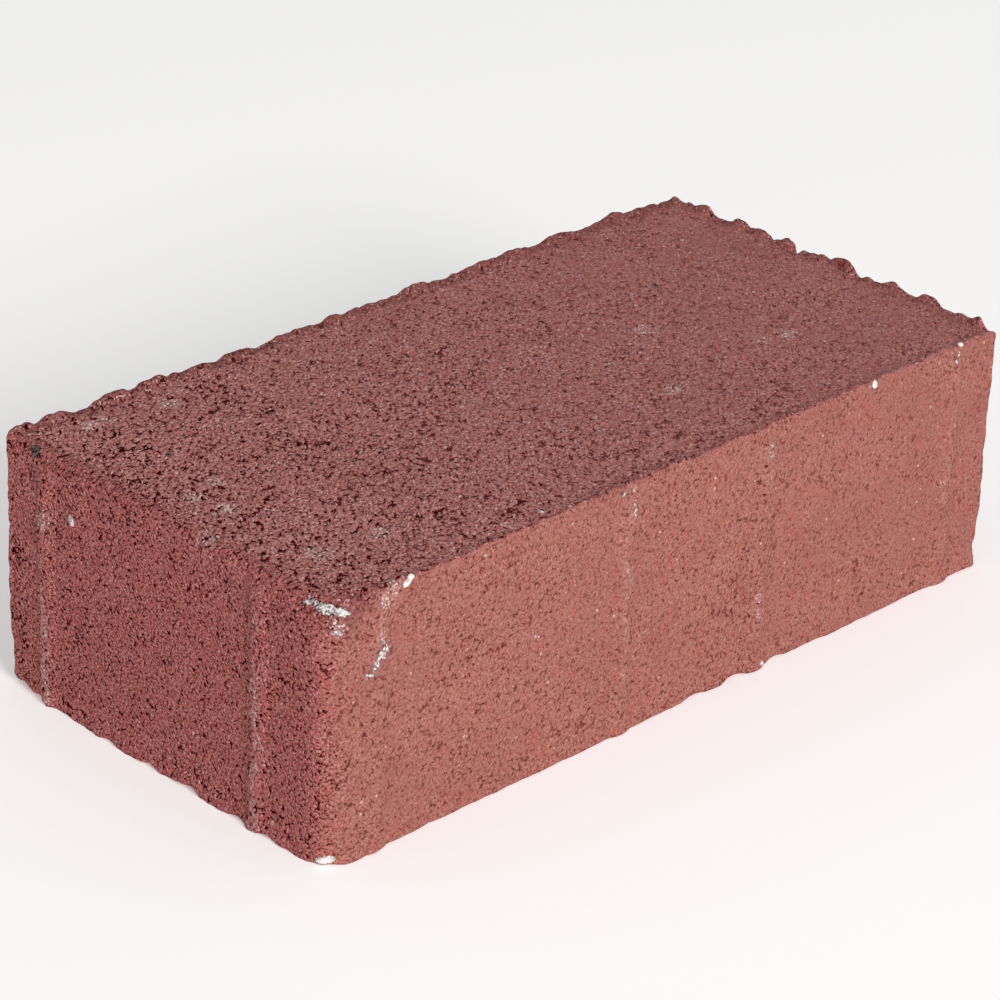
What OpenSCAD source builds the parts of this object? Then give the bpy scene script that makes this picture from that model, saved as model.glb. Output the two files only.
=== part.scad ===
// Pressed concrete paving stone: one solid block with slightly rounded upright corners,
// a wearing face that lies slightly below a thin rim, and low spacer nibs up
// its four sides. Units are millimetres. The origin is the middle of the bed
// face, X runs along the length and Z is up.

/* [Block] */
// Length of the block between its two ends, without the nibs
block_l = 200; // [150:1:300]
// Width of the block between its two long sides, without the nibs
block_w = 100; // [75:1:200]
// Overall height, from the bed face to the top of the rim
block_h = 60; // [40:1:100]
// Radius of the four upright corners
corner_r = 1.5; // [1:0.5:8]

/* [Rim] */
// Height of the rim above the wearing face
rim_h = 1; // [0.4:0.1:2]
// Width of the rim's top
rim_w = 1.4; // [0.8:0.1:4]

/* [Spacer nibs] */
// How far a nib stands out from its face
nib_proud = 0.8; // [0.4:0.1:1.5]
// Width of a nib where it leaves its face
nib_w = 6; // [3:0.5:8]
// Gap between the top of a nib and the top of the rim
nib_top_gap = 2; // [0:0.5:10]
// Height over which a nib tapers back into its face
nib_taper = 3; // [1:0.5:6]
// From each end of a long side to its outer nib
side_outer = 13; // [10:0.5:20]
// From the middle of a long side to its inner nib on the left, seen from outside
side_inner_left = 17; // [5:0.5:40]
// From the middle of a long side to its inner nib on the right, seen from outside
side_inner_right = 25; // [5:0.5:40]
// From the left corner of an end face to its left nib, seen from outside
end_left = 12; // [10:0.5:30]
// From the right corner of an end face to its right nib, seen from outside
end_right = 21; // [10:0.5:30]

/* [Hidden] */
$fn = 64;
// A nib is the part of an upright round bar that stands out of its face.
nib_r = (nib_w * nib_w / 4 + nib_proud * nib_proud) / (2 * nib_proud);
nib_sink = nib_r - nib_proud;
nib_h = block_h - nib_top_gap;
// How far the taper's end lies behind the face, so that the two don't just touch
taper_bite = 0.2;
// Extra height of a cutting solid above the face that it opens
cut_over = 1;
// Smallest inside radius that the recess's corners keep
recess_r_min = 0.5;
// Where the nibs stand, measured to the right from the middle of each face
side_nibs = [
    -block_l / 2 + side_outer,
    -side_inner_left,
    side_inner_right,
    block_l / 2 - side_outer
];
end_nibs = [
    -block_w / 2 + end_left,
    block_w / 2 - end_right
];

// A flat slab with its four upright corners rounded, standing on z = 0
module rounded_slab(l, w, h, r) {
    translate([-l / 2 + r, -w / 2, 0]) cube([l - 2 * r, w, h]);
    translate([-l / 2, -w / 2 + r, 0]) cube([l, w - 2 * r, h]);
    for (x = [-1, 1], y = [-1, 1])
        translate([x * (l / 2 - r), y * (w / 2 - r), 0]) cylinder(r = r, h = h);
}

// The shallow recess that leaves the rim around the wearing face
module wearing_face_recess() {
    translate([0, 0, block_h - rim_h])
        rounded_slab(
            block_l - 2 * rim_w,
            block_w - 2 * rim_w,
            rim_h + cut_over,
            max(corner_r - rim_w, recess_r_min)
        );
}

// One nib on a face that looks along -Y through the origin
module nib() {
    translate([0, nib_sink, 0]) {
        cylinder(r = nib_r, h = nib_h - nib_taper);
        translate([0, 0, nib_h - nib_taper])
            cylinder(r1 = nib_r, r2 = max(nib_sink - taper_bite, 0), h = nib_taper);
    }
}

// The nibs of one face that lies out from the block's middle and looks along -Y
module nib_row(out, places) {
    for (x = places)
        translate([x, -out, 0]) nib();
}

// The whole block; opposite faces carry the same nibs, turned half a turn
module paving_stone() {
    color([0.62, 0.37, 0.34]) {
        difference() {
            rounded_slab(block_l, block_w, block_h, corner_r);
            wearing_face_recess();
        }
        for (turn = [0, 180])
            rotate([0, 0, turn]) {
                nib_row(block_w / 2, side_nibs);
                rotate([0, 0, -90]) nib_row(block_l / 2, end_nibs);
            }
    }
}

paving_stone();
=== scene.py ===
"""The looks of a pressed concrete paving stone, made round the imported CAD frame.

One closed mesh stands for the CAD block. Its sides and nibs are where the CAD has them, and the
squeezed-out rim, the worn near edge, the chipped bed edge, the pits and the grains are worked into
it. Shapes are worked out in millimetres and made in metres. Everything random comes from a seed
that is a short text, so each run gives the same stone.

The four sides are called near (-X), far (+X), front (-Y) and back (+Y).
"""

import functools
import itertools
import math
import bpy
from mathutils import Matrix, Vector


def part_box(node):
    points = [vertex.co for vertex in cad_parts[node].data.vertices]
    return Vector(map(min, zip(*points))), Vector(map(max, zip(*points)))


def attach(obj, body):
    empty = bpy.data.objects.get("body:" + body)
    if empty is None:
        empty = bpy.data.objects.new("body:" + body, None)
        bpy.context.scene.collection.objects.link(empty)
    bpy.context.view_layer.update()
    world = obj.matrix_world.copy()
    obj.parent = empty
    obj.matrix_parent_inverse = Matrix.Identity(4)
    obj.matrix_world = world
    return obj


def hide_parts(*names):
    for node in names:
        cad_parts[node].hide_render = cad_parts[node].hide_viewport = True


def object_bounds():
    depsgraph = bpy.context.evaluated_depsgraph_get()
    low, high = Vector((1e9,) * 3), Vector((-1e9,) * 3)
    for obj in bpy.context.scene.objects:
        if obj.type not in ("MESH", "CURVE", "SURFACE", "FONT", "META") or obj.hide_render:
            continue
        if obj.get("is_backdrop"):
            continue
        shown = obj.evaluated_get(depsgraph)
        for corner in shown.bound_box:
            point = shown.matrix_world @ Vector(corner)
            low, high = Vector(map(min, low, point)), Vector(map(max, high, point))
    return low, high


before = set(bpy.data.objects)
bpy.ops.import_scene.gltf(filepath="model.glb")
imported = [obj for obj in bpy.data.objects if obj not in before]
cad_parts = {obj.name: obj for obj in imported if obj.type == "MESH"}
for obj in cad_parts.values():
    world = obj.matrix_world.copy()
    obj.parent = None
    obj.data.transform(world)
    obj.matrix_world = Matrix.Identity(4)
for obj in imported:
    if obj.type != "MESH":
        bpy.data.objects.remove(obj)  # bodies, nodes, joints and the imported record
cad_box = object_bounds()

import zlib

import bpy
import numpy as np
from mathutils import Matrix, Vector
from mathutils.kdtree import KDTree

MM = 0.001
NODE = "paving_stone"
SLOT = "red_concrete"

# ---------------------------------------------------------------- sizes, in millimetres

# The block itself. The frame's box has the nibs on it, which stand out this far.
NIB_PROUD = 0.8
LOW, HIGH = (np.array(corner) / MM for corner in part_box(NODE))
HALF = (HIGH[:2] - LOW[:2]) / 2 - NIB_PROUD
HEIGHT = HIGH[2]
# Radius of the upright corners, which is 1.5 in CAD
CORNER_R = 1.0
# Radius of the one between the near end and the front, which is worn
WORN_CORNER_R = 6.0
# Two places closer than this are the same
SAME = 1e-6

# Nibs: bars of round section that stand out of the sides. The frame gives boxes only, so the nibs'
# sizes and places repeat the CAD's. The places run to the right, seen from outside.
NIB_WIDTH = 6.0
NIB_TOP_GAP = 2.0
NIB_TAPER = 3.0
NIB_R = (NIB_WIDTH**2 / 4 + NIB_PROUD**2) / (2 * NIB_PROUD)
SIDE_OUTER, SIDE_INNER_LEFT, SIDE_INNER_RIGHT = 13, 17, 25
END_LEFT, END_RIGHT = 12, 21
SIDE_NIBS = np.array([SIDE_OUTER - HALF[0], -SIDE_INNER_LEFT, SIDE_INNER_RIGHT, HALF[0] - SIDE_OUTER])
END_NIBS = np.array([END_LEFT - HALF[1], HALF[1] - END_RIGHT])

# The wearing face lies this far under the nominal top of the rim
RECESS = 1.0

# The mesh: large cells, and along every edge a band of this many smaller ones, each cut in four
CELL = 1.15
EDGE_CELL = 0.8
EDGE_CELLS = 4

# Lumps (place along the edge, height, half width) that the press squeezed up out of the mould
BACK_LUMPS = (
    (-97, 0.9, 4), (-88, 0.9, 4), (-81, -0.9, 4), (-72, 1.0, 4), (-62, 1.0, 5), (-44, -0.6, 3),
    (-31, -0.7, 5), (-14, -0.7, 2), (-10, 0.5, 3), (15, 1.2, 5), (25, -0.6, 2), (36, 0.6, 7),
    (46, 1.0, 5), (60, 0.7, 6), (79, 1.2, 4), (97, -1.0, 5),
)
FAR_LUMPS = (
    (-48.5, -0.9, 3), (-45, 1.1, 1.6), (-42, 0.6, 4), (-31, 1.6, 3.5), (-20, 1.0, 3), (-10, -0.7, 2),
    (-5, 2.4, 4), (1, 0.8, 4), (9, -1.4, 1.5), (12, 1.2, 2.5), (21, 0.6, 4), (27, 1.5, 2.5),
    (33, -0.5, 4), (39, 0.8, 3),
)
# Chips (place along the edge, height, half width) that are broken off the bed's visible edges
FRONT_CHIPS = ((6, 0.9, 4), (18.5, 1.3, 4), (32, 0.9, 3), (94, 0.4, 5))
NEAR_CHIPS = (
    (-33, 0.7, 3), (-24, 0.8, 3), (-8, 1.3, 4), (4, 0.6, 2), (17, 0.8, 3), (40, 1.2, 3), (48, 2.4, 6),
)
BACK_CHIPS = ((-98, 1.8, 5),)


# ---------------------------------------------------------------- seeded noise


def seeded(name):
    """A random generator of its own for each name."""
    return np.random.default_rng(zlib.crc32(name.encode()))


# The block of random vectors repeats after this many humps
NOISE_PERIOD = 32
# Brings the noise's usual range up to about -1 to 1
NOISE_GAIN = 1.6


@functools.lru_cache(maxsize=None)
def gradients(name):
    """A block of random unit vectors and a random shift, for noise()."""
    random = seeded(name)
    table = random.normal(size=(NOISE_PERIOD,) * 3 + (3,))
    return table / np.linalg.norm(table, axis=-1, keepdims=True), random.uniform(0, NOISE_PERIOD, 3)


def noise(points, wavelength, name):
    """Smooth noise in space, mostly between -1 and 1, with about one hump per wavelength."""
    table, shift = gradients(name)
    scaled = points / wavelength + shift
    cell = np.floor(scaled).astype(int)
    part = scaled - cell
    fade = part**3 * (part * (part * 6 - 15) + 10)
    total = np.zeros(len(points))
    for corner in itertools.product((0, 1), repeat=3):
        index = (cell + corner) % NOISE_PERIOD
        pull = (table[index[:, 0], index[:, 1], index[:, 2]] * (part - corner)).sum(axis=1)
        total += pull * np.where(corner, fade, 1 - fade).prod(axis=1)
    return NOISE_GAIN * total


def smooth(value, start, end):
    """0 before start, 1 after end, and a smooth step between them."""
    part = np.clip((value - start) / (end - start), 0, 1)
    return part * part * (3 - 2 * part)


def humps(places, listed):
    """A row of rounded humps with creases between them, and dips where a height is negative."""
    total = np.zeros(len(places))
    for centre, height, half_width in listed:
        total += height * np.clip(1 - ((places - centre) / half_width) ** 2, 0, None)
    return total


# ---------------------------------------------------------------- the mesh's grid


def grid_lines(low, high):
    """Places of the fine grid lines along one axis. Every second one is a line of the coarse grid."""
    band = EDGE_CELL * np.arange(EDGE_CELLS + 1)
    first, last = low + band[-1], high - band[-1]
    middle = np.linspace(first, last, round((last - first) / CELL) + 1)
    coarse = np.concatenate([low + band, middle[1:-1], high - band[::-1]])
    fine = np.empty(2 * len(coarse) - 1)
    fine[::2] = coarse
    fine[1::2] = (coarse[1:] + coarse[:-1]) / 2
    return fine


def side_faces(cells_u, cells_v):
    """Faces of one flat side, each a ring of fine (u, v) grid places: small ones in the edge band,
    and large ones between, which take up the small ones' corners where the two meet."""
    low, high_u, high_v = EDGE_CELLS, cells_u - EDGE_CELLS, cells_v - EDGE_CELLS
    for a, b in itertools.product(range(cells_u), range(cells_v)):
        u, v = 2 * a, 2 * b
        if low <= a < high_u and low <= b < high_v:
            ring = [(u, v), (u + 1, v), (u + 2, v), (u + 2, v + 1)]
            ring += [(u + 2, v + 2), (u + 1, v + 2), (u, v + 2), (u, v + 1)]
            borders = (b == low, a == high_u - 1, b == high_v - 1, a == low)
            yield [place for k, place in enumerate(ring) if k % 2 == 0 or borders[k // 2]]
        else:
            for i, j in ((u, v), (u + 1, v), (u + 1, v + 1), (u, v + 1)):
                yield [(i, j), (i + 1, j), (i + 1, j + 1), (i, j + 1)]


def block_grid():
    """The square box as (points, faces, the side that each face belongs to)."""
    lines = [
        grid_lines(-HALF[0], HALF[0]),
        grid_lines(-HALF[1], HALF[1]),
        grid_lines(0, HEIGHT),
    ]
    numbers, faces, sides = {}, [], []
    for axis, end in itertools.product(range(3), (0, 1)):
        u_axis, v_axis = (axis + 1) % 3, (axis + 2) % 3
        cells = [(len(lines[k]) - 1) // 2 for k in (u_axis, v_axis)]
        place = [0, 0, 0]
        place[axis] = end * (len(lines[axis]) - 1)
        for ring in side_faces(*cells):
            face = []
            for u, v in ring if end else reversed(ring):
                place[u_axis], place[v_axis] = u, v
                face.append(numbers.setdefault(tuple(place), len(numbers)))
            faces.append(face)
            sides.append(2 * axis + end)
    index = np.array(list(numbers))
    points = np.column_stack([lines[k][index[:, k]] for k in range(3)])
    return points, faces, sides


# ---------------------------------------------------------------- the block's shape


class Sites:
    """Where each point of the box lies on the block."""

    def __init__(self, box_points):
        plan = box_points[:, :2]
        sign = np.where(plan < 0, -1.0, 1.0)
        worn = (sign < 0).all(axis=1, keepdims=True)
        radius = np.where(worn, WORN_CORNER_R, CORNER_R)
        core = HALF - radius
        over = np.clip((np.abs(plan) - core) / radius, 0, 1)
        reach = over.max(axis=1)
        ratio = over.min(axis=1) / np.maximum(reach, SAME)
        leans_x = over[:, 0] >= over[:, 1]
        angle = np.where(leans_x, ratio, 2 - ratio) * math.pi / 4
        ray = np.column_stack([np.cos(angle), np.sin(angle)])
        gap = HALF - np.abs(plan)
        inner = reach == 0
        nearest_x = gap[:, 0] < gap[:, 1]
        ray[inner] = np.column_stack([nearest_x, ~nearest_x])[inner]
        # The square corner of the plan is bent into an arc, and the grid inside it follows.
        bent = np.minimum(np.abs(plan), core) + radius * reach[:, None] * ray
        self.plan = sign * np.where(inner[:, None], np.abs(plan), bent)
        self.outward = sign * ray
        self.inset = np.where(inner, gap.min(axis=1), radius[:, 0] * (1 - reach))
        self.height = box_points[:, 2]
        self.wall = self.inset < SAME
        self.top = self.height > HEIGHT - SAME
        self.bed = self.height < SAME
        outline = self.plan + self.outward * self.inset[:, None]
        # The wall point that each point belongs to: itself, or the nearest on the outline
        self.edge = np.column_stack([outline, self.height])
        share = self.outward**2
        self.near = share[:, 0] * (self.outward[:, 0] < 0)
        self.far = share[:, 0] * (self.outward[:, 0] > 0)
        self.front = share[:, 1] * (self.outward[:, 1] < 0)
        self.back = share[:, 1] * (self.outward[:, 1] > 0)


def nearest_nib(site):
    """The nearest nib's number on its side, and the place across it in millimetres from its middle."""
    x, y = site.edge[:, 0], site.edge[:, 1]
    turned = np.where(site.back + site.far > 0.5, -1, 1)
    rows = ((x * turned)[:, None] - SIDE_NIBS, (-y * turned)[:, None] - END_NIBS)
    numbers = [np.abs(row).argmin(axis=1) for row in rows]
    offsets = [row[np.arange(len(x)), number] for row, number in zip(rows, numbers)]
    on_side = site.front + site.back > 0.5
    return np.where(on_side, *numbers), np.where(on_side, *offsets)


def nib_height(site):
    """How far the nibs stand out of the walls."""
    offset = np.minimum(np.abs(nearest_nib(site)[1]), NIB_R)
    bar = np.maximum(np.sqrt(NIB_R**2 - offset**2) - (NIB_R - NIB_PROUD), 0)
    top = HEIGHT - NIB_TOP_GAP
    return bar * (1 - smooth(site.height, top - NIB_TAPER, top))


def wall_offset(site):
    """How far the walls stand out of the flat: swells, the nibs, and a foot that spreads."""
    at = site.edge
    swell = 0.25 * noise(at, 30, "wall swell") + 0.07 * noise(at, 9, "wall waves")
    corner = 4 * site.outward[:, 0] ** 2 * site.outward[:, 1] ** 2
    ragged = (0.08 + 0.3 * corner) * noise(at, 4.5, "wall ragged")
    foot = (0.7 + 0.4 * noise(at, 9, "foot")) * (1 - smooth(site.height, 0.5, 6)) * (1 - 1.5 * corner)
    # The front wall's top edge is nicked, and two opposite corners stand out a little.
    upper = smooth(site.height, HEIGHT - 1.6, HEIGHT - 0.4)
    nicked = -0.5 * site.front * upper * np.maximum(noise(at, 5, "nicks"), 0)
    turned_out = 0.5 * corner * smooth(site.height, 5, 20) * (at[:, 0] * at[:, 1] < 0)
    return swell + ragged + nib_height(site) + foot + nicked + turned_out


def rim_height(site):
    """Height of the rim over the wearing face along the outline."""
    at = site.edge
    fine = noise(at, 1.9, "rim fine")
    # Round crumbs with sharp creases between them
    crumbs = np.abs(noise(at, 4.2, "rim crumbs")) - 0.35
    waves = noise(at, 9, "rim waves")
    back = 0.65 + humps(at[:, 0], BACK_LUMPS) + 0.15 * waves + 0.7 * crumbs + 0.22 * fine
    far = 0.7 + humps(at[:, 1], FAR_LUMPS) + 0.15 * waves + 0.9 * crumbs + 0.25 * fine
    front = 0.4 + 0.25 * waves + 0.8 * crumbs + 0.2 * fine
    near = 0.1 + 0.2 * waves + 0.15 * fine
    return site.back * back + site.far * far + site.front * front + site.near * near


def top_rounding(site):
    """Radius of the top edge: worn soft on the near end and crisp elsewhere."""
    at = site.edge
    worn = 2.8 + 0.9 * noise(at, 9, "worn edge")
    crisp = 0.5 + 0.4 * noise(at, 3, "crisp edge")
    # The near edge is worn most towards the front.
    rolled = 3 * site.near * (1 - smooth(at[:, 1], -HALF[1] + 4, -HALF[1] + 18))
    # The front edge rolls over too as it comes to the worn corner.
    rolled += 4.5 * site.front * (1 - smooth(at[:, 0], -HALF[0] + 5, -HALF[0] + 18))
    return np.maximum(site.near * worn + (1 - site.near) * crisp + rolled, 0.2)


def bed_rounding(site):
    """Radius of the bed's edge, with the chips that are broken off it."""
    at = site.edge
    chips = site.front * humps(at[:, 0], FRONT_CHIPS) + site.near * humps(at[:, 1], NEAR_CHIPS)
    chips += site.back * humps(at[:, 0], BACK_CHIPS)
    loose = np.maximum(noise(at, 8, "bed chips") - 0.1, 0) * (1 - 0.7 * (site.front + site.near))
    crumbs = (0.25 + 0.6 * site.near) * noise(at, 2.5, "bed crumbs")
    return np.maximum(0.6 + crumbs, 0.1) + 2.2 * loose + 1.6 * chips


def rounded(site, depth, radius):
    """How far a point of an edge moves in and down when the edge is rounded to this radius.
    depth is its distance from the sharp edge, along the wall or along the face."""
    angle = math.pi / 4 * np.clip(1 - depth / radius, 0, 1)
    inside = depth < radius
    short = radius * (1 - np.cos(angle)) * inside
    slide = np.where(inside, radius - radius * np.sin(angle) - depth, 0)
    wall = site.wall
    return np.where(wall, short, slide), np.where(wall, slide, short)


def shaped(site):
    """The block's points with all its shapes but the finest relief."""
    rim = rim_height(site)
    face_z = HEIGHT - RECESS
    z = site.height.copy()

    # Walls stretch at the top to meet the rim.
    stretch = smooth(z, HEIGHT - 6, HEIGHT)
    z += np.where(site.wall, (rim - RECESS) * stretch, 0)

    # Across the rim the top falls to the wearing face, and most steeply on the near end.
    thick = 1.5 + 0.5 * noise(site.edge, 5, "rim thickness")
    across = 1 - smooth(site.inset, 0.35 * thick, (1.3 + 0.8 * (1 - site.near)) * thick)
    at = np.column_stack([site.plan, site.height])
    face = 0.22 * noise(at, 28, "face swell") + 0.05 * noise(at, 7, "face waves")
    inner_top = site.top & ~site.wall
    level = face_z + rim * across + face * smooth(site.inset, 0, 4)
    z = np.where(inner_top, level, z)

    # The edges of the top and of the bed are rounded, chipped or worn.
    top_depth = np.where(site.wall, HEIGHT - site.height, site.inset)
    bed_depth = np.where(site.wall, site.height, site.inset)
    top_in, top_down = rounded(site, top_depth, top_rounding(site))
    bed_in, bed_up = rounded(site, bed_depth, bed_rounding(site))
    by_top = site.height > HEIGHT / 2
    z += np.where(by_top, -top_down, bed_up)
    inward = np.where(by_top, top_in, bed_in)

    # The wall's shape fades out over the flat faces.
    out = wall_offset(site) * (1 - smooth(site.inset, 0, 5)) - inward
    plan = site.plan + site.outward * out[:, None]
    return np.column_stack([plan, z])


# ---------------------------------------------------------------- fine relief


def openness(site):
    """How open and coarse the surface is, from 0, smooth skin, to 1, bare grains."""
    at = np.column_stack([site.plan, site.height])
    x = site.plan[:, 0] / HALF[0]
    y = site.plan[:, 1] / HALF[1]
    on_face = 0.36 - 0.36 * x + 0.1 * x**2
    on_end = 0.78 + 0.1 * y
    on_side = 0.19 - 0.1 * x
    end_share = site.near + site.far
    on_wall = end_share * on_end + (1 - end_share) * on_side
    wall_share = 1 - smooth(site.inset, 0, 2)
    whole = wall_share * on_wall + (1 - wall_share) * on_face
    return np.clip(whole + 0.14 * noise(at, 18, "open large") + 0.12 * noise(at, 6, "open small"), 0, 1)


def wall_share(site, normals):
    """1 where the surface is a wall's, 0 where it is the wearing face's or the bed's."""
    upright = 1 - smooth(np.abs(normals[:, 2]), 0.35, 0.8)
    # The rough skin of the near end reaches over its worn edge.
    worn = site.near * (1 - smooth(site.inset, 0, 6.5))
    return np.maximum(upright, worn)


def groove(site):
    """Painted shade: the dark line along the top of the front wall, where the rim was pressed over."""
    at = site.edge
    across = np.where(site.top, site.inset, site.height - HEIGHT)
    across = across - 0.3 - 0.6 * noise(at, 5, "groove path")
    along = smooth(at[:, 0], -94, -84) * (1 - 0.7 * smooth(at[:, 0], 20, 70))
    return site.front * along * np.exp(-((across / 0.4) ** 2))


def shaded_rim_share(site):
    """How far a point is on the rim, which is darker with painted shade and redder, most of all along
    the back edge.
    """
    width = 4.2 + 1.2 * noise(site.edge, 6, "rim width")
    share = site.back + 0.6 * site.far + 0.1 * site.front
    return share * (1 - smooth(site.inset, 0.5 * width, width)) * site.top


def scatter(points, tree, weight, count, sizes, name):
    """A field with one dome of height 1 round each of count random points."""
    random = seeded(name)
    chosen = random.choice(len(points), count, replace=False, p=weight / weight.sum())
    field = np.zeros(len(points))
    for number in chosen:
        size = random.uniform(*sizes)
        for _, other, distance in tree.find_range(Vector(points[number]), size):
            field[other] = max(field[other], (1 - (distance / size) ** 2) ** 1.5)
    return field


# How many pits and coarse grains there are, and their radii
PIT_COUNT, GRAIN_COUNT = 700, 900
BUMP_SIZES = (0.9, 1.6)
# How far a pit goes down, and a coarse grain and a white stone stand up
PIT_DEPTH, GRAIN_HEIGHT, STONE_HEIGHT = 0.3, 0.12, 0.25


def relief(points, site, is_open, stone):
    """Height of the grains, pits and white stones along the surface's normal, with the pits' field.
    stone is the distance from the nearest white stone's edge."""
    tree = KDTree(len(points))
    for number, point in enumerate(points):
        tree.insert(point, number)
    tree.balance()
    # On the walls and near the edges of the other faces, each point is chosen less often.
    thin = np.where(site.inset < EDGE_CELL * EDGE_CELLS, 0.3, 1.0)
    pits = scatter(points, tree, thin * (0.1 + is_open**2), PIT_COUNT, BUMP_SIZES, "pits")
    grains = scatter(points, tree, thin * (0.1 + is_open), GRAIN_COUNT, BUMP_SIZES, "grains")
    rough = (0.02 + 0.06 * is_open) * noise(points, 1.9, "rough")
    bed_keep = np.where(site.bed, 0.4, 1.0)
    height = bed_keep * (rough + GRAIN_HEIGHT * grains * (0.4 + is_open) - PIT_DEPTH * pits)
    return height + STONE_HEIGHT * (1 - smooth(stone, -0.6, 0.3)), pits


# ---------------------------------------------------------------- marks


# White stones: (start, end, half width), each a short stroke on the surface
WHITE_STONES = (
    ((-80, -50, 57.9), (-78.5, -50, 59.2), 0.8),
    ((58.6, -50, 58.7), (58.9, -50, 58.2), 0.75),
    ((88, -49.8, 59.9), (88, -49.8, 59.5), 0.85),
    ((-98.5, -46.9, 1.2), (-97.2, -48.2, 1.5), 1.2),
    ((26, -51, 1.8), (26.9, -51, 1.1), 0.6),
    ((-100, 29, 47.6), (-100, 28.7, 46.6), 0.9),
    ((-40.5, -47, 59.2), (-40.1, -47, 59.2), 0.5),
    ((-33.9, -43.6, 59), (-33, -43.6, 59), 0.45),
    ((-95, -42.4, 59), (-94.6, -42.6, 59), 0.45),
    ((-34.6, 19.7, 59), (-34.2, 19.4, 59), 0.5),
    ((44.8, 16.2, 59), (44.4, 16, 59), 0.45),
)
# White lime: short strokes again, with ragged edges
LIME_STROKES = (
    ((-99.2, -42.2, 58.2), (-99, -44.4, 58), 1.1),
    ((-98.6, -46, 57.8), (-97.8, -47.6, 57.5), 1.1),
    ((-97, -48.8, 57.2), (-95.2, -50, 57), 1.0),
    ((-97.3, -49, 53.2), (-97.1, -49, 52.7), 0.6),
    ((-86.7, -50.5, 47.7), (-86.6, -50.5, 47.2), 0.5),
    ((-85, -50.5, 45.6), (-86.6, -50.5, 45.2), 1.0),
    ((-86.6, -50.5, 44.6), (-87.6, -50.5, 43.2), 0.8),
    ((-88.2, -50.4, 42.4), (-90, -50.3, 40.4), 0.6),
    ((-19.5, -50, 57.2), (-18, -50.4, 57.6), 0.35),
    ((-16.6, -51, 56), (-16, -51, 51), 0.4),
    ((25, -50.5, 56), (25.4, -51, 51), 0.3),
    ((56.9, -50, 58.6), (57, -50, 58.3), 0.35),
    ((87.6, -50.4, 57.6), (87.4, -50.4, 57), 0.4),
    ((86.5, -50.4, 55.9), (86.4, -50.4, 55.4), 0.45),
    ((-100, 18.7, 53.3), (-100, 18.2, 53), 0.4),
    ((9, 6.2, 59), (9, 6, 59), 0.5),
    ((21.3, -6.8, 59), (21, -6.6, 59), 0.5),
    ((-4.2, -28, 59), (-4, -28, 59), 0.5),
)
# Soft pale scuffs: (place, radius)
SCUFFS = (
    ((-84, 42, 59), 4), ((-80, 42, 59), 3), ((-64.5, 40, 59), 4), ((-89, 3, 59), 4),
    ((-81.4, 5.6, 59), 3),
    ((-98, -12, 58.5), 4), ((-88, -5, 59), 4), ((-86, -31, 59), 5), ((-71, -32, 59), 4),
    ((22.5, -24.7, 59), 4), ((-100, 38, 44), 4), ((39.7, 1, 59), 4), ((63, -21, 59), 4),
    ((56, -19, 59), 3), ((-83.3, -50, 58), 3), ((-85.7, -50, 56), 2.5), ((-97, -49, 54), 3),
)
# Painted shade: soft dark patches round the worn near corner, in the same form
CORNER_SHADE_PATCHES = (((-97, -50.5, 58), 10), ((-92, -50, 60), 8))
# Dark stones: (start, end, half width)
DARK_STONES = (
    ((-99, 41.8, 58.5), (-99.5, 41.2, 58), 1.2),
    ((59.3, 16.7, 59), (59, 16.4, 59), 0.8),
    ((-81, 21, 59), (-80, 22, 59), 0.7),
)
# Open clusters of hollows, in the same form. They go down in the bump and are darkened with painted
# shade.
HOLLOWS = (
    ((-100, 11, 56.5), (-100, 10.5, 54), 0.5),
    ((-100, 26.9, 23.5), (-100, 26.6, 18.5), 0.6),
    ((-100, 47.5, 35), (-100, 46.5, 30), 0.6),
    ((-100, 46.5, 17), (-100, 45, 11), 0.7),
    ((-88, -10.7, 59), (-74, -6.4, 59), 0.4),
    ((-48, -44, 59), (-40, -41, 59), 0.8),
    ((-14, -38, 59), (-4, -40, 59), 0.8),
    ((28, -42, 59), (42, -40, 59), 0.6),
    ((-91, 30, 59), (-80, 26, 59), 0.3),
    ((-58, 10, 59), (-52, 4, 59), 1.0),
    ((78, -50, 34), (76, -50, 30), 0.7),
    ((4, -51, 0.8), (11, -51, 1), 0.6),
    ((15, -51, 1.6), (24, -51, 1.2), 0.6),
    ((33, -51, 0.8), (38, -51, 0.6), 0.4),
)
# Heights between which a nib's crest is rubbed pale, and how strongly: by side and nib number
NIB_RUBS = {
    ("front", 0): ((48, 58, 0.5),),
    ("front", 1): ((44, 58, 0.6), (8, 48, 0.3)),
    ("front", 2): ((46, 56, 0.6), (13, 20, 0.7)),
    ("front", 3): ((18, 27, 0.6), (27, 57, 0.25)),
    ("near", 0): ((0, 38, 0.9),),
    ("near", 1): ((0, 37, 0.8), (37, 55, 0.25)),
}
OTHER_NIB_RUB = ((8, 44, 0.6),)


def patched(points, patches):
    """Soft round patches, each a (place, radius), strongest in their middle."""
    field = np.zeros(len(points))
    for place, radius in patches:
        away = np.linalg.norm(points - np.array(place, float), axis=1)
        field = np.maximum(field, 1 - smooth(away, 0, radius))
    return field


# What the fields hold where no stroke or nib is near
FAR_FROM_STROKE = 3.0
FAR_FROM_NIB = 30


def stroke_distance(points, strokes):
    """Distance from the nearest stroke, less its half width."""
    least = np.full(len(points), FAR_FROM_STROKE)
    for start, end, half_width in strokes:
        start, end = np.array(start, float), np.array(end, float)
        run = end - start
        part = np.clip((points - start) @ run / (run @ run), 0, 1)
        away = np.linalg.norm(points - start - part[:, None] * run, axis=1)
        least = np.minimum(least, away - half_width)
    return least


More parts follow.
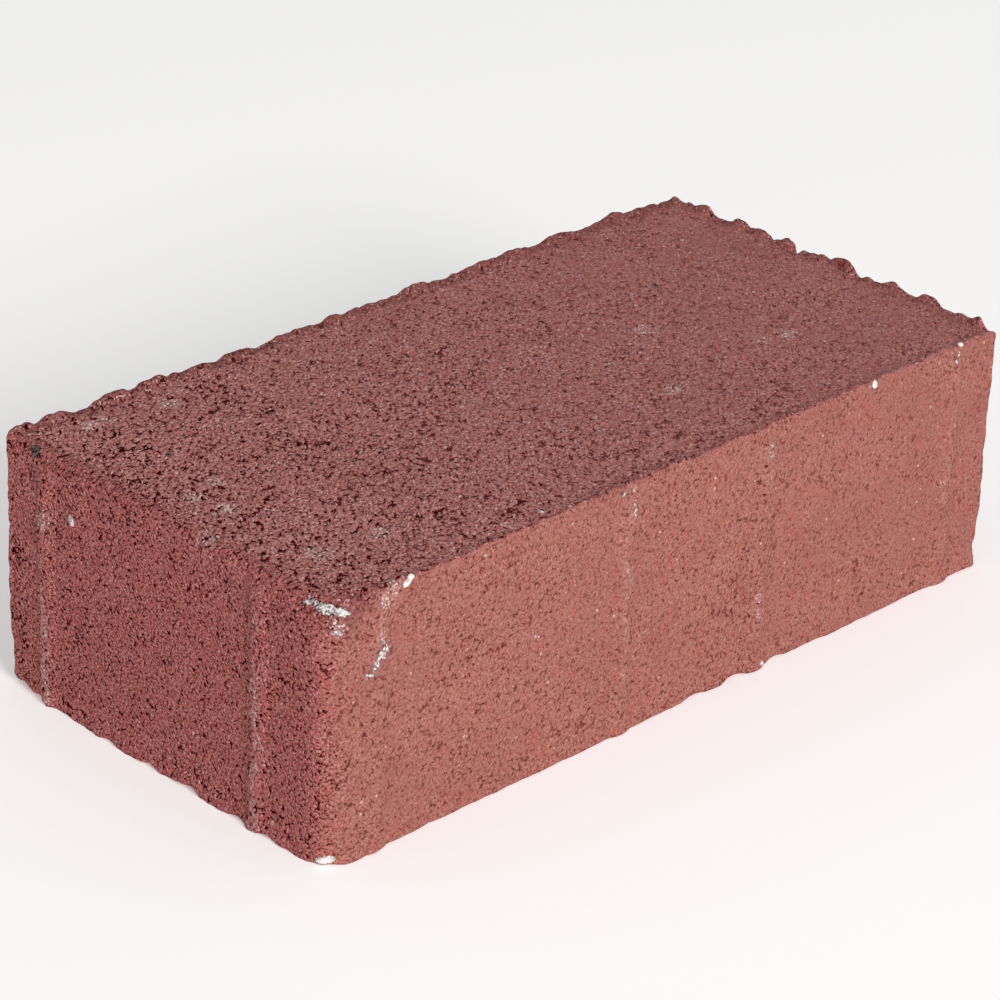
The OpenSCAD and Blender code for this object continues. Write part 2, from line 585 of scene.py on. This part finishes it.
def nib_rub(site):
    """How strongly the nearest nib's crest is rubbed at each height."""
    z = site.height
    nearest = nearest_nib(site)[0]
    sides = {
        "front": (site.front, SIDE_NIBS),
        "back": (site.back, SIDE_NIBS),
        "near": (site.near, END_NIBS),
        "far": (site.far, END_NIBS),
    }
    field = np.zeros(len(z))
    for side, (share, nibs) in sides.items():
        for number in range(len(nibs)):
            here = (share > 0.5) & (nearest == number)
            for low, high, strength in NIB_RUBS.get((side, number), OTHER_NIB_RUB):
                fade = smooth(z, low - 2, low + 1) * (1 - smooth(z, high - 1, high + 2))
                field = np.where(here, np.maximum(field, strength * fade), field)
    return field * site.wall


# ---------------------------------------------------------------- the piece

# Where each side lies on the square UV map, in millimetres of surface: side number (twice the axis
# that it faces along, plus 1 on the high end), corner of its chart, and scale. The bed's chart is
# smaller and stands on end beside the others.
MAP_SIZE = 288.0
CHARTS = {
    5: (1, 1, 1.0),
    2: (1, 103, 1.0),
    3: (1, 165, 1.0),
    0: (1, 227, 1.0),
    1: (103, 227, 1.0),
    4: (205, 1, 0.8),
}


def map_place(side, box_point):
    """Place of a box point on the UV map."""
    from_low = box_point - np.array([-HALF[0], -HALF[1], 0])
    corner_u, corner_v, scale = CHARTS[side]
    axes = {0: (1, 2), 1: (1, 2), 2: (0, 2), 3: (0, 2), 4: (1, 0), 5: (0, 1)}[side]
    u, v = from_low[axes[0]] * scale, from_low[axes[1]] * scale
    # Sides that the shared axes would mirror run the other way.
    if side in (0, 3):
        u = 2 * HALF[axes[0]] * scale - u
    return (corner_u + u) / MAP_SIZE, (corner_v + v) / MAP_SIZE


def make_stone():
    """The paving stone as one mesh object, with the fields that its material reads."""
    box_points, faces, sides = block_grid()
    site = Sites(box_points)
    points = shaped(site)

    mesh = bpy.data.meshes.new(NODE)
    mesh.from_pydata((points * MM).tolist(), [], faces)
    normals = np.empty(len(points) * 3, np.float32)
    mesh.vertex_normals.foreach_get("vector", normals)
    normals = normals.reshape(-1, 3)
    is_open = openness(site)
    height, pits = relief(points, site, is_open, stroke_distance(points, WHITE_STONES))
    points = points + normals * height[:, None]
    points[:, 2] = np.maximum(points[:, 2], 0)
    mesh.vertices.foreach_set("co", (points * MM).ravel())

    fields = {
        "openness": is_open,
        "pits": pits,
        "wall": wall_share(site, normals),
        "ends": site.near + site.far,
        "rim": shaded_rim_share(site),
        "groove": groove(site),
        "lime": stroke_distance(points, LIME_STROKES),
        "stone": stroke_distance(points, WHITE_STONES),
        "dark": stroke_distance(points, DARK_STONES),
        "hollow": stroke_distance(points, HOLLOWS),
        "scuff": patched(points, SCUFFS),
        "corner_shade": patched(points, CORNER_SHADE_PATCHES),
        "nib_offset": np.where(site.wall, nearest_nib(site)[1], FAR_FROM_NIB),
        "nib_rub": nib_rub(site),
    }
    for name, values in fields.items():
        layer = mesh.attributes.new(name, "FLOAT", "POINT")
        layer.data.foreach_set("value", values.astype(np.float32))

    chart = mesh.uv_layers.new(name="OFBake")
    places = [map_place(side, box_points[k]) for face, side in zip(faces, sides) for k in face]
    chart.data.foreach_set("uv", np.array(places, np.float32).ravel())
    mesh.shade_smooth()
    mesh.update()

    stone = bpy.data.objects.new("stone", mesh)
    bpy.context.scene.collection.objects.link(stone)
    return stone


# ---------------------------------------------------------------- the concrete


class Nodes:
    """Short calls that make and join the nodes of one material."""

    def __init__(self, material):
        material.use_nodes = True
        self.tree = material.node_tree
        self.tree.nodes.clear()

    def add(self, kind, inputs=None, **settings):
        """A node with its settings, and its inputs given by name or number."""
        node = self.tree.nodes.new(kind)
        for name, value in settings.items():
            setattr(node, name, value)
        for name, value in (inputs or {}).items():
            if isinstance(value, bpy.types.NodeSocket):
                self.tree.links.new(value, node.inputs[name])
            else:
                node.inputs[name].default_value = value
        return node

    def math(self, operation, first, second=0.0, third=0.0, clamp=False):
        inputs = {0: first, 1: second, 2: third}
        return self.add("ShaderNodeMath", inputs, operation=operation, use_clamp=clamp).outputs[0]

    def plus(self, first, second):
        return self.math("ADD", first, second)

    def times(self, first, second):
        return self.math("MULTIPLY", first, second)

    def line(self, value, slope, start):
        """start + slope * value, where any of the three may be a socket."""
        return self.math("MULTIPLY_ADD", value, slope, start)

    def field(self, name):
        """One of the mesh's own fields."""
        return self.add("ShaderNodeAttribute", attribute_name=name).outputs["Fac"]

    def step(self, value, start, end):
        """0 at start and 1 at end, with a smooth step between. start may be above end."""
        inputs = {"Value": value, "From Min": start, "From Max": end, "To Min": 0.0, "To Max": 1.0}
        node = self.add("ShaderNodeMapRange", inputs, interpolation_type="SMOOTHSTEP")
        return node.outputs["Result"]

    def noise(self, place, size, detail, roughness):
        """Noise with humps about size millimetres wide, from 0 to 1."""
        inputs = {"Vector": place, "Scale": 1 / size, "Detail": detail, "Roughness": roughness}
        return self.add("ShaderNodeTexNoise", inputs).outputs["Fac"]

    def vector(self, operation, inputs):
        return self.add("ShaderNodeVectorMath", inputs, operation=operation).outputs[0]

    def warped(self, place, size, amount):
        """The place moved at random by up to half the amount along each axis, in humps of this size."""
        noise = self.add("ShaderNodeTexNoise", {"Vector": place, "Scale": 1 / size, "Detail": 1.0})
        centred = self.vector("SUBTRACT", {0: noise.outputs["Color"], 1: (0.5, 0.5, 0.5)})
        moved = self.vector("SCALE", {0: centred, 3: amount})
        return self.vector("ADD", {0: place, 1: moved})

    def cells(self, place, size):
        """Voronoi cells: distance from the cell's grain, and a random value for each cell."""
        node = self.add("ShaderNodeTexVoronoi", {"Vector": place, "Scale": 1 / size})
        random = self.add("ShaderNodeSeparateColor", {"Color": node.outputs["Color"]})
        return node.outputs["Distance"], random.outputs["Red"]

    def blend(self, factor, under, over, mode="MIX"):
        """Colour over laid on colour under."""
        node = self.add("ShaderNodeMix", data_type="RGBA", blend_type=mode)
        for number, value in ((0, factor), (6, under), (7, over)):
            if isinstance(value, bpy.types.NodeSocket):
                self.tree.links.new(value, node.inputs[number])
            else:
                node.inputs[number].default_value = value
        return node.outputs[2]

    def tinted(self, colour, tint):
        """The colour multiplied by the tint."""
        return self.blend(1.0, colour, tint, "MULTIPLY")


# Colours of the concrete, linear. The wearing face's paste is lighter than the walls' partly as painted
# light, to make up for the lamp lighting the top less; its greyer tone is its own.
SIDE_PASTE = (0.320, 0.113, 0.094, 1)
END_PASTE = (0.325, 0.086, 0.080, 1)
FACE_PASTE = (0.370, 0.130, 0.123, 1)
# What the paste's colour is multiplied by: round the worn near corner, as painted shade; where it
# is redder; on the highest grains, as painted highlight; and in the deepest hollows, as painted shade
CORNER_SHADE_TINT = (0.68, 0.56, 0.60, 1)
RED_TINT = (1.03, 0.84, 0.80, 1)
HIGHLIGHT_TINT = (1.55, 2.0, 2.05, 1)
HOLLOW_SHADE_TINT = (0.14, 0.01, 0.01, 1)
WHITE_GRAIN = (0.66, 0.47, 0.43, 1)
PALE_GRAIN = (0.80, 0.53, 0.50, 1)
TAN_GRAIN = (0.58, 0.30, 0.18, 1)
DARK_GRAIN = (0.09, 0.032, 0.028, 1)
DARK_STONE = (0.03, 0.022, 0.024, 1)
STONE_SPOTS = (0.15, 0.13, 0.13, 1)
LIME = (0.80, 0.77, 0.75, 1)
LIME_SHADE = (0.32, 0.25, 0.25, 1)
PALE_FILM = (0.50, 0.31, 0.29, 1)
PALE_FLAKE = (0.80, 0.67, 0.65, 1)
WHITE_STONE = (0.86, 0.83, 0.80, 1)
STONE_SHADE = (0.55, 0.48, 0.46, 1)

# Stray grains, which are a few of the sand's cells: the range of a cell's random value that makes
# it one, its radius as a share of a cell, its strength and its colour
STRAY_GRAINS = (
    (0.0, 0.02, 0.4, 0.6, TAN_GRAIN),
    (0.06, 0.062, 0.5, 1.0, DARK_GRAIN),
    (0.10, 0.104, 0.5, 0.75, WHITE_GRAIN),
)
# How much larger the grains are on the wearing face: along the 45 degree line, across it, and down
FACE_GRAINS = (1.65, 1.1, 1.1)
# How often the patterns repeat, in millimetres, from the finest to the coarsest
FINE_SIZE = 0.42
SPECK_SIZE = 0.5
SAND_SIZE = 0.6
FLECK_SIZE = 0.7
SPOT_SIZE = 0.8
CELL_SIZE = 0.85
TEAR_SIZE = 0.9
WARP_SIZE = 1.4
FACET_SIZE = 1.4
GROOVE_SIZE = 1.6
RED_SIZE = 3.5
PATCH_SIZE = 4.5
RUB_SIZE = 5
CREST_SIZE = 9
CLOUD_SIZE = 16
# Relief of the bump, in millimetres: of one unit of the hollows' depth, the finest grains and lime
HOLLOW_RELIEF, FINE_RELIEF, LIME_RELIEF = 0.06, 0.12, 0.5


def grain_places(n):
    """Place on the stone in millimetres, as it is and as the grains have it: stretched on the
    wearing face, and warped, so that the grains aren't even."""
    metres = n.add("ShaderNodeTexCoord").outputs["Object"]
    straight = n.vector("SCALE", {0: metres, 3: 1 / MM})
    stretch = {"Vector": straight, "Rotation": (0, 0, math.pi / 4), "Scale": FACE_GRAINS}
    on_face = n.add("ShaderNodeMapping", stretch, vector_type="TEXTURE").outputs[0]
    choice = {0: n.math("GREATER_THAN", n.field("wall"), 0.5), 4: on_face, 5: straight}
    place = n.add("ShaderNodeMix", choice, data_type="VECTOR").outputs[1]
    return straight, n.warped(place, WARP_SIZE, 0.4)


def hollow_depth(n, straight, place, gap):
    """Depth of the hollows between grains: about 0 on the whole, and seldom below -2 or above 2.
    The deepest places are where the edges of several cells meet. gap is the distance from the
    cell's grain."""
    depth = n.line(gap, 5.5, -3.0)
    depth = n.line(n.noise(place, SAND_SIZE, 1, 0.5), -5.0, n.plus(depth, 2.5))
    depth = n.line(n.noise(straight, PATCH_SIZE, 3, 0.6), 1.5, n.plus(depth, -0.8))
    depth = n.line(n.field("pits"), 0.5, depth)
    return n.line(n.step(n.field("hollow"), 1.5, -0.5), 1.1, depth)


def paste_colour(n, straight):
    """The paste of each kind of face: cloudy, with painted shade on the rim and round the worn near
    corner, and redder in places.
    """
    rim = n.field("rim")
    wall_paste = n.blend(n.field("ends"), SIDE_PASTE, END_PASTE)
    paste = n.blend(n.field("wall"), FACE_PASTE, wall_paste)
    cloud = n.line(n.noise(straight, CLOUD_SIZE, 4, 0.6), 0.26, 0.87)
    # Painted shade: the rim is darkened.
    cloud = n.times(cloud, n.line(rim, -0.38, 1.0))
    grey = n.add("ShaderNodeCombineColor", {0: cloud, 1: cloud, 2: cloud}).outputs[0]
    paste = n.tinted(paste, grey)
    # Painted shade: the paste is darkened round the worn near corner.
    corner_shade = n.math("MULTIPLY", n.field("corner_shade"), 1.3, clamp=True)
    paste = n.blend(corner_shade, paste, n.tinted(paste, CORNER_SHADE_TINT))
    redder = n.math("MAXIMUM", n.step(n.noise(straight, RED_SIZE, 3, 0.6), 0.45, 0.7), rim)
    return n.blend(n.times(redder, 0.7), paste, n.tinted(paste, RED_TINT))


def highlights_and_shade(n, straight, depth, fine, contrast):
    """How far each place is a high grain, which gets a painted highlight, and how far it is a deep
    hollow or in the groove, which get painted shade.
    """
    high = n.plus(n.step(depth, 0.0, -2.4), n.step(fine, 0.58, 0.72))
    painted_shade = n.plus(n.step(depth, 0.7, 1.8), n.times(n.step(fine, 0.38, 0.27), 0.9))
    # Painted shade in the groove along the top of the front wall
    broken = n.step(n.noise(straight, GROOVE_SIZE, 3, 0.6), 0.3, 0.5)
    painted_shade = n.plus(painted_shade, n.times(n.times(n.field("groove"), broken), 0.9))
    high = n.times(high, n.times(contrast, 0.8))
    return high, n.math("MINIMUM", n.times(painted_shade, contrast), 1.0)


def with_grains(n, colour, place, gap, pick):
    """The colour with stray grains and pale specks on it. pick is a random value for each cell."""
    for low, high, size, strength, grain in STRAY_GRAINS:
        chosen = n.times(n.math("GREATER_THAN", pick, low), n.math("LESS_THAN", pick, high))
        stray = n.times(chosen, n.step(gap, size, size * 0.5))
        colour = n.blend(n.times(stray, strength), colour, grain)
    speck = n.step(n.noise(place, SPECK_SIZE, 0, 0.5), 0.67, 0.75)
    speck = n.times(speck, n.line(n.field("openness"), 0.55, 0.28))
    # There are few pale specks on the long sides, and not many on the ends.
    fewer = n.times(n.field("wall"), n.line(n.field("ends"), -0.4, 0.75))
    return n.blend(n.times(speck, n.math("SUBTRACT", 1.0, fewer)), colour, PALE_GRAIN)


def with_pale_film(n, colour, straight, place, ragged, depth):
    """The colour with thin film and flakes on it: on the crests of nibs and in scuffs, but not in
    the hollows."""
    across = n.plus(n.field("nib_offset"), n.times(ragged, 1.5))
    across = n.line(n.noise(straight, CREST_SIZE, 2, 0.5), 6.0, n.plus(across, -3.0))
    across = n.math("ABSOLUTE", across)
    rub = n.times(n.field("nib_rub"), n.step(n.noise(straight, RUB_SIZE, 2, 0.6), 0.36, 0.6))
    crest = n.times(n.times(n.step(across, 2.0, 0.2), 0.4), rub)
    fleck = n.times(n.step(across, 1.3, 0.3), n.step(n.noise(straight, FLECK_SIZE, 2, 0.6), 0.54, 0.64))
    scuff = n.field("scuff")
    flake = n.times(n.step(scuff, 0.05, 0.6), n.step(n.noise(place, SPECK_SIZE, 1, 0.6), 0.56, 0.64))
    fleck = n.math("MAXIMUM", n.times(fleck, rub), n.times(flake, 0.9))
    film = n.math("MAXIMUM", crest, n.times(scuff, 0.3))
    above = n.step(depth, 1.4, 0.4)
    colour = n.blend(n.times(film, above), colour, PALE_FILM)
    return n.blend(n.times(fleck, above), colour, PALE_FLAKE)


def with_stones(n, colour, straight, ragged, lime):
    """The colour with lime, white stones and dark stones on it."""
    crumbs = n.step(n.noise(straight, FLECK_SIZE, 2, 0.6), 0.4, 0.56)
    colour = n.blend(lime, colour, n.blend(crumbs, LIME_SHADE, LIME))
    stone = n.step(n.plus(n.field("stone"), n.times(ragged, 0.5)), 0.08, -0.12)
    faceted = n.step(n.noise(straight, FACET_SIZE, 1, 0.5), 0.42, 0.52)
    colour = n.blend(stone, colour, n.blend(faceted, STONE_SHADE, WHITE_STONE))
    dark = n.step(n.plus(n.field("dark"), ragged), 0.2, -0.2)
    spots = n.step(n.noise(straight, SPOT_SIZE, 2, 0.6), 0.46, 0.58)
    return n.blend(n.times(dark, 0.9), colour, n.blend(spots, DARK_STONE, STONE_SPOTS))


def concrete_material():
    """Red concrete: sand grains bound in paste, with hollows between them, and marks."""
    material = bpy.data.materials.new(SLOT)
    n = Nodes(material)
    straight, place = grain_places(n)
    gap, pick = n.cells(place, CELL_SIZE)
    depth = hollow_depth(n, straight, place, gap)
    # The finest grains and pores
    fine = n.noise(place, FINE_SIZE, 0, 0.5)
    contrast = n.line(n.field("openness"), 1.0, 0.3)

    # Painted highlights on the grains and much darker painted shade in the hollows
    paste = paste_colour(n, straight)
    high, painted_shade = highlights_and_shade(n, straight, depth, fine, contrast)
    colour = n.blend(high, paste, n.tinted(paste, HIGHLIGHT_TINT))
    colour = n.blend(painted_shade, colour, n.tinted(paste, HOLLOW_SHADE_TINT))
    colour = with_grains(n, colour, place, gap, pick)

    # Marks, with ragged edges
    tear = n.noise(straight, TEAR_SIZE, 3, 0.7)
    ragged = n.line(tear, 2.0, -1.0)
    lime = n.step(n.plus(n.field("lime"), n.times(ragged, 1.6)), 0.12, -0.12)
    colour = with_pale_film(n, colour, straight, place, ragged, depth)
    colour = with_stones(n, colour, straight, ragged, lime)

    # Relief in millimetres: grains stand up, and hollows go down
    height = n.times(n.times(depth, -HOLLOW_RELIEF), contrast)
    height = n.line(fine, FINE_RELIEF, height)
    height = n.line(lime, n.times(tear, LIME_RELIEF), height)
    bump = n.add("ShaderNodeBump", {"Height": height, "Strength": 1.0, "Distance": MM})

    shader = n.add("ShaderNodeBsdfPrincipled", {
        "Base Color": colour,
        "Roughness": n.line(tear, 0.2, 0.78),
        "Normal": bump.outputs["Normal"],
        # Hollows don't shine.
        "Specular IOR Level": n.times(n.step(painted_shade, 0.5, 0.0), 0.2),
    })
    n.add("ShaderNodeOutputMaterial", {"Surface": shader.outputs[0]})
    return material


# ---------------------------------------------------------------- camera, light and floor

CAMERA_AZIMUTH, CAMERA_ELEVATION, CAMERA_ROLL = -45.27, 27.04, 2.30
CAMERA_AIM = Vector((-2.3, 2.4, 30)) * MM
CAMERA_DISTANCE = 853 * MM
CAMERA_LENS = 140.5
SENSOR = 36.0
# What the camera sees lies between these distances, in metres.
CAMERA_NEAR, CAMERA_FAR = 0.01, 100

# The lamp: its azimuth and elevation in degrees, distance and side in metres, and power in watts
KEY_AZIMUTH, KEY_ELEVATION = -16, 26
KEY_DISTANCE, KEY_SIZE, KEY_POWER = 3.0, 1.0, 66
KEY_COLOUR = (1, 0.98, 0.95)
WORLD_STRENGTH = 0.42
# The floor, in metres. Its own faint light keeps it pale.
FLOOR_HALF = 30.0
FLOOR_COLOUR = (0.9, 0.9, 0.9, 1)
FLOOR_GLOW = 0.28


def direction(azimuth, elevation):
    """Unit vector towards a place seen at this azimuth and elevation. Azimuth 0 is the front."""
    a, e = math.radians(azimuth), math.radians(elevation)
    return Vector((math.sin(a) * math.cos(e), -math.cos(a) * math.cos(e), math.sin(e)))


def facing(place, target, roll=0.0):
    """Matrix of a camera or lamp at a place that looks at a target, rolled about its view."""
    turn = (target - place).to_track_quat("-Z", "Y").to_matrix().to_4x4()
    return Matrix.Translation(place) @ turn @ Matrix.Rotation(math.radians(roll), 4, "Z")


def make_camera():
    """The camera at the photograph's viewing angle."""
    data = bpy.data.cameras.new("camera")
    data.lens, data.sensor_width = CAMERA_LENS, SENSOR
    data.clip_start, data.clip_end = CAMERA_NEAR, CAMERA_FAR
    camera = bpy.data.objects.new("camera", data)
    place = CAMERA_AIM + CAMERA_DISTANCE * direction(CAMERA_AZIMUTH, CAMERA_ELEVATION)
    camera.matrix_world = facing(place, CAMERA_AIM, CAMERA_ROLL)
    bpy.context.scene.collection.objects.link(camera)
    bpy.context.scene.camera = camera


def make_key():
    """A square soft lamp that faces the stone."""
    data = bpy.data.lights.new("key", "AREA")
    data.shape, data.size = "SQUARE", KEY_SIZE
    data.energy, data.color = KEY_POWER, KEY_COLOUR
    lamp = bpy.data.objects.new("key", data)
    centre = Vector((0, 0, HEIGHT / 2 * MM))
    lamp.matrix_world = facing(centre + KEY_DISTANCE * direction(KEY_AZIMUTH, KEY_ELEVATION), centre)
    bpy.context.scene.collection.objects.link(lamp)


def make_world():
    """Even white light from all round."""
    world = bpy.data.worlds.new("studio")
    world.use_nodes = True
    background = world.node_tree.nodes["Background"]
    background.inputs["Color"].default_value = (1, 1, 1, 1)
    background.inputs["Strength"].default_value = WORLD_STRENGTH
    bpy.context.scene.world = world


def make_floor():
    """A plain pale floor that the stone lies on."""
    half = FLOOR_HALF
    mesh = bpy.data.meshes.new("floor")
    corners = [(-half, -half, 0), (half, -half, 0), (half, half, 0), (-half, half, 0)]
    mesh.from_pydata(corners, [], [(0, 1, 2, 3)])
    material = bpy.data.materials.new("floor")
    n = Nodes(material)
    shader = n.add("ShaderNodeBsdfPrincipled", {
        "Base Color": FLOOR_COLOUR,
        "Roughness": 0.9,
        "Specular IOR Level": 0.1,
        "Emission Color": (1, 1, 1, 1),
        "Emission Strength": FLOOR_GLOW,
    })
    n.add("ShaderNodeOutputMaterial", {"Surface": shader.outputs[0]})
    mesh.materials.append(material)
    floor = bpy.data.objects.new("floor", mesh)
    bpy.context.scene.collection.objects.link(floor)
    floor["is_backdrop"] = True


def write_sizes():
    """Works out the CAD box and the visual model's box, but keeps neither."""
    boxes = {"cad": cad_box, "visual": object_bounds()}
    {name: [list(corner) for corner in box] for name, box in boxes.items()}


make_camera()
make_key()
make_world()
make_floor()
bpy.context.scene.view_settings.view_transform = "Standard"

stone = make_stone()
stone.data.materials.append(concrete_material())
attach(stone, "root")
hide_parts(NODE)

write_sizes()
